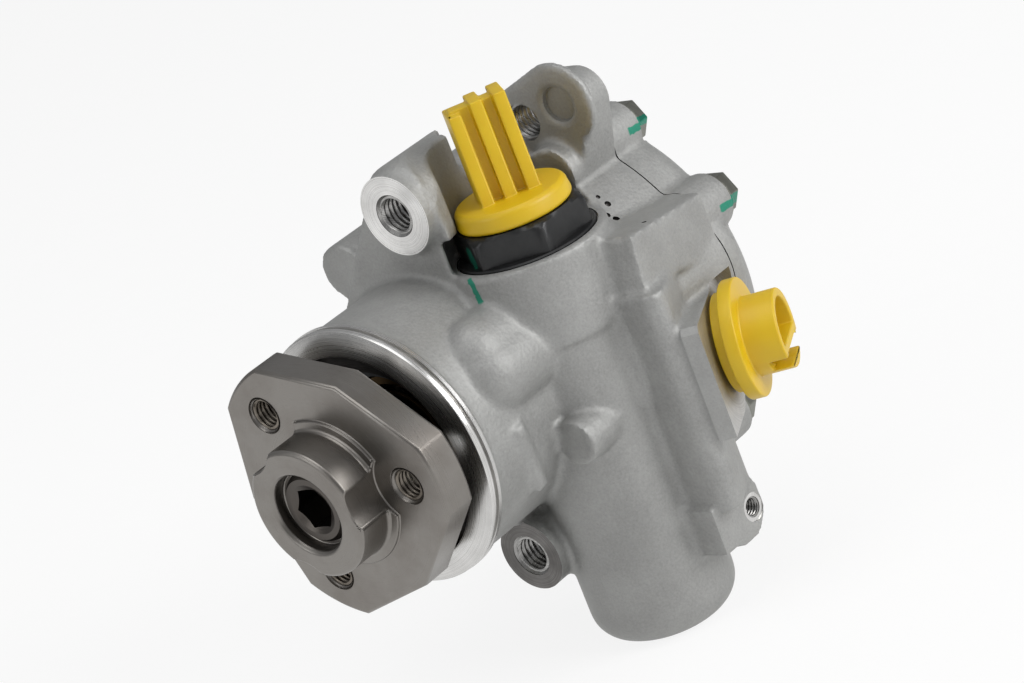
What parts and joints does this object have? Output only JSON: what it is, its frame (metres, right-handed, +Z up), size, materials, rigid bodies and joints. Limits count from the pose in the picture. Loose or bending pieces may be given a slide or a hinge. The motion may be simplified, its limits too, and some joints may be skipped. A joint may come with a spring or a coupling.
{
  "type": "power steering pump",
  "caption": "Cast aluminium vane pump for hydraulic steering, with a three-lobed drive flange, a flow control valve and yellow transport caps in its ports.",
  "frame": {"origin": "centre of the drive flange's pulley face", "axes": "+Y along the shaft to the rear, +Z up along the valve bore, +X to the inlet side"},
  "size_m": [0.1214, 0.129, 0.1431],
  "materials": {
    "cast_aluminium": "fine shot-blasted casting",
    "turned_steel": "satin turned",
    "ground_steel": "ground",
    "dark_steel": "phosphated",
    "black_steel": "black oxide",
    "spring_steel": "oiled",
    "yellow_plastic": "moulded",
    "black_rubber": "matte",
    "bronze": "plain",
    "copper": "soft annealed"
  },
  "bodies": {
    "housing": {"pump_body": "cast_aluminium", "rear_cover": "cast_aluminium", "cover_bolts": "dark_steel", "cover_o_ring": "black_rubber", "bearing_outer_ring": "ground_steel", "bearing_circlip": "spring_steel", "shaft_seal": "black_rubber", "shaft_bush": "bronze", "cover_bush": "bronze", "front_plate": "ground_steel", "plate_o_ring": "black_rubber", "cam_ring": "ground_steel", "rear_plate": "ground_steel", "dowel_pins": "ground_steel", "flow_spring": "spring_steel", "outlet_union": "black_steel", "union_washer": "copper"},
    "drive": {"drive_flange": "turned_steel", "drive_shaft": "ground_steel", "bearing_inner_ring": "ground_steel", "rotor": "ground_steel", "rotor_circlip": "spring_steel"},
    "ball_train": {"bearing_balls": "ground_steel", "bearing_cage": "bronze"},
    "valve_spool": {"flow_spool": "ground_steel", "relief_seat": "ground_steel", "relief_spring": "spring_steel"},
    "relief_poppet": {"relief_ball": "ground_steel", "relief_guide": "ground_steel"},
    "cap": {"outlet_cap": "yellow_plastic"},
    "plug": {"inlet_plug": "yellow_plastic"},
    "sliding_vane_1": {"vane_1": "ground_steel"},
    "sliding_vane_2": {"vane_2": "ground_steel"},
    "sliding_vane_3": {"vane_3": "ground_steel"},
    "sliding_vane_4": {"vane_4": "ground_steel"},
    "sliding_vane_5": {"vane_5": "ground_steel"},
    "sliding_vane_6": {"vane_6": "ground_steel"},
    "sliding_vane_7": {"vane_7": "ground_steel"},
    "sliding_vane_8": {"vane_8": "ground_steel"},
    "sliding_vane_9": {"vane_9": "ground_steel"},
    "sliding_vane_10": {"vane_10": "ground_steel"}
  },
  "joints": [
    {"name": "drive_spin", "type": "hinge", "parent": "housing", "child": "drive", "pos_m": [0, 0, 0], "axis": [0, 1, 0], "continuous": true},
    {"name": "ball_spin", "type": "hinge", "parent": "housing", "child": "ball_train", "pos_m": [0, 0.0312, 0], "axis": [0, 1, 0], "continuous": true},
    {"name": "vane_1_slide", "type": "slide", "parent": "drive", "child": "sliding_vane_1", "axis": [1, 0, 0], "range_m": [-0.0015, 0]},
    {"name": "vane_2_slide", "type": "slide", "parent": "drive", "child": "sliding_vane_2", "axis": [0.809, 0, 0.5878], "range_m": [-0.0015, 0]},
    {"name": "vane_3_slide", "type": "slide", "parent": "drive", "child": "sliding_vane_3", "axis": [0.309, 0, 0.9511], "range_m": [-0.0015, 0]},
    {"name": "vane_4_slide", "type": "slide", "parent": "drive", "child": "sliding_vane_4", "axis": [-0.309, 0, 0.9511], "range_m": [-0.0015, 0]},
    {"name": "vane_5_slide", "type": "slide", "parent": "drive", "child": "sliding_vane_5", "axis": [-0.809, 0, 0.5878], "range_m": [-0.0015, 0]},
    {"name": "vane_6_slide", "type": "slide", "parent": "drive", "child": "sliding_vane_6", "axis": [-1, 0, 0], "range_m": [-0.0015, 0]},
    {"name": "vane_7_slide", "type": "slide", "parent": "drive", "child": "sliding_vane_7", "axis": [-0.809, 0, -0.5878], "range_m": [-0.0015, 0]},
    {"name": "vane_8_slide", "type": "slide", "parent": "drive", "child": "sliding_vane_8", "axis": [-0.309, 0, -0.9511], "range_m": [-0.0015, 0]},
    {"name": "vane_9_slide", "type": "slide", "parent": "drive", "child": "sliding_vane_9", "axis": [0.309, 0, -0.9511], "range_m": [-0.0015, 0]},
    {"name": "vane_10_slide", "type": "slide", "parent": "drive", "child": "sliding_vane_10", "axis": [0.809, 0, -0.5878], "range_m": [-0.0015, 0]},
    {"name": "spool_slide", "type": "slide", "parent": "housing", "child": "valve_spool", "axis": [0, 0, 1], "range_m": [-0.008, 0], "stiffness_N_per_m": 5000, "springref_m": 0.006, "deforming": ["flow_spring"]},
    {"name": "relief_lift", "type": "slide", "parent": "valve_spool", "child": "relief_poppet", "axis": [0, 0, 1], "range_m": [0, 0.0012], "stiffness_N_per_m": 15000, "springref_m": -0.002, "deforming": ["relief_spring"]},
    {"name": "cap_pull", "type": "slide", "parent": "housing", "child": "cap", "axis": [0, 0, 1], "range_m": [0, 0.03]},
    {"name": "plug_pull", "type": "slide", "parent": "housing", "child": "plug", "axis": [0.8829, 0.4695, 0], "range_m": [0, 0.03]}
  ],
  "couplings": [
    {"joint": "ball_spin", "follows": "drive_spin", "ratio": 0.3976}
  ]
}
